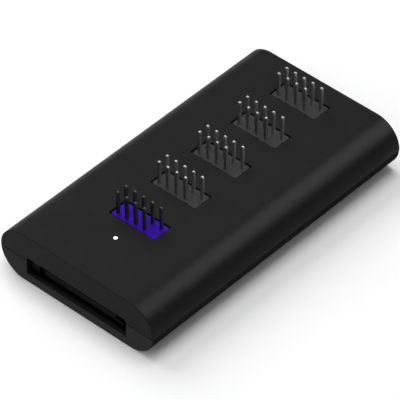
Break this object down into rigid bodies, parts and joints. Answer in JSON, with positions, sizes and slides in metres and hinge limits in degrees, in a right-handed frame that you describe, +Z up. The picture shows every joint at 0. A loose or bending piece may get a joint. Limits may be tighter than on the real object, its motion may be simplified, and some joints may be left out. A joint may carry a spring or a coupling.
{
  "type": "internal usb hub",
  "caption": "Flat black internal USB hub: pin headers in a row on top, a status lamp and a power inlet in one end.",
  "frame": {"origin": "centre of the underside, where the case rests", "axes": "+Z up through the top, +Y along the case away from the power inlet, +X across it"},
  "size_m": [0.044, 0.0804, 0.019],
  "materials": {
    "case_plastic": "fine spark texture",
    "board_laminate": "solder mask",
    "input_base_plastic": "moulded",
    "output_base_plastic": "moulded",
    "tinned_pins": "tin plated",
    "darkened_pins": "dulled tin plated",
    "plug_plastic": "moulded",
    "gilt_contacts": "gold plated",
    "chip_resin": "moulded epoxy",
    "crystal_can": "drawn can",
    "ferrite": "sintered",
    "fuse_polymer": "moulded",
    "capacitor_ceramic": "fired",
    "resistor_ceramic": "glazed",
    "lamp_resin": "clear white",
    "magnet_nickel": "nickel plated",
    "screw_steel": "black zinc"
  },
  "bodies": {
    "root": {"bottom_shell": "case_plastic", "capacitors": "capacitor_ceramic", "case_screws": "screw_steel", "circuit_board": "board_laminate", "crystal": "crystal_can", "front_magnet": "magnet_nickel", "hub_controller_chip": "chip_resin", "inductor": "ferrite", "input_fuse": "fuse_polymer", "input_header_base": "input_base_plastic", "input_header_pins": "darkened_pins", "light_pipe": "lamp_resin", "output_header_base_1": "output_base_plastic", "output_header_base_2": "output_base_plastic", "output_header_base_3": "output_base_plastic", "output_header_base_4": "output_base_plastic", "output_header_pins_1": "tinned_pins", "output_header_pins_2": "tinned_pins", "output_header_pins_3": "tinned_pins", "output_header_pins_4": "tinned_pins", "power_plug_contacts": "gilt_contacts", "power_plug_housing": "plug_plastic", "rear_magnet": "magnet_nickel", "resistors": "resistor_ceramic", "status_led": "lamp_resin", "surge_guards": "chip_resin", "top_shell": "case_plastic", "voltage_regulator": "chip_resin"}
  },
  "joints": []
}
